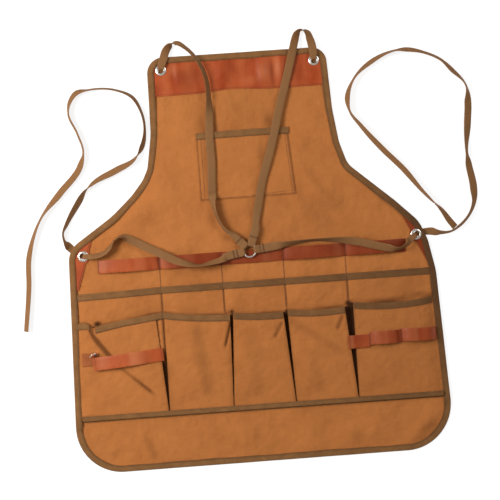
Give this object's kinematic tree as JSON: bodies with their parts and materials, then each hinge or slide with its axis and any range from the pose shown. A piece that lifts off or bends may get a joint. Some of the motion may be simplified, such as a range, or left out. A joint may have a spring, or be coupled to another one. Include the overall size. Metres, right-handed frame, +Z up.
{
  "type": "grill apron",
  "caption": "Bibbed canvas work apron lying face up, with a bound edge, leather trims and tool loops, gathered pockets, metal eyelets and long webbing straps joined by a steel ring.",
  "frame": {"origin": "on the table under the middle of the apron's own box, straps left out", "axes": "+X across the apron to the picture's right, +Y up the bib, +Z up from the table out of the front"},
  "size_m": [0.8582, 0.7914, 0.0276],
  "materials": {
    "canvas": "matt waxed canvas",
    "tape": "matt woven tape",
    "leather": "smooth, slightly glossy",
    "steel": "polished nickel",
    "webbing": "matt woven webbing"
  },
  "bodies": {
    "root": {"apron_body": "canvas", "chest_pocket": "canvas", "slot_pocket_panel": "canvas", "lower_pocket_1": "canvas", "lower_pocket_2": "canvas", "lower_pocket_3": "canvas", "lower_pocket_4": "canvas", "lower_pocket_5": "canvas", "edge_binding": "tape", "chest_pocket_tape": "tape", "slot_pocket_tape": "tape", "lower_band": "tape", "lower_pocket_tape_1": "tape", "lower_pocket_tape_2": "tape", "lower_pocket_tape_3": "tape", "lower_pocket_tape_4": "tape", "lower_pocket_tape_5": "tape", "bib_panel": "leather", "corner_patch_left": "leather", "corner_patch_right": "leather", "waist_loop_strip": "leather", "towel_strap": "leather", "towel_strap_tab": "leather", "tool_loop_strip": "leather", "eyelet_top_left": "steel", "eyelet_top_right": "steel", "eyelet_side_left": "steel", "eyelet_side_right": "steel", "back_ring": "steel", "towel_strap_snap": "steel", "shoulder_strap_left": "webbing", "shoulder_strap_right": "webbing", "waist_strap_left": "webbing", "waist_strap_right": "webbing"}
  },
  "joints": []
}
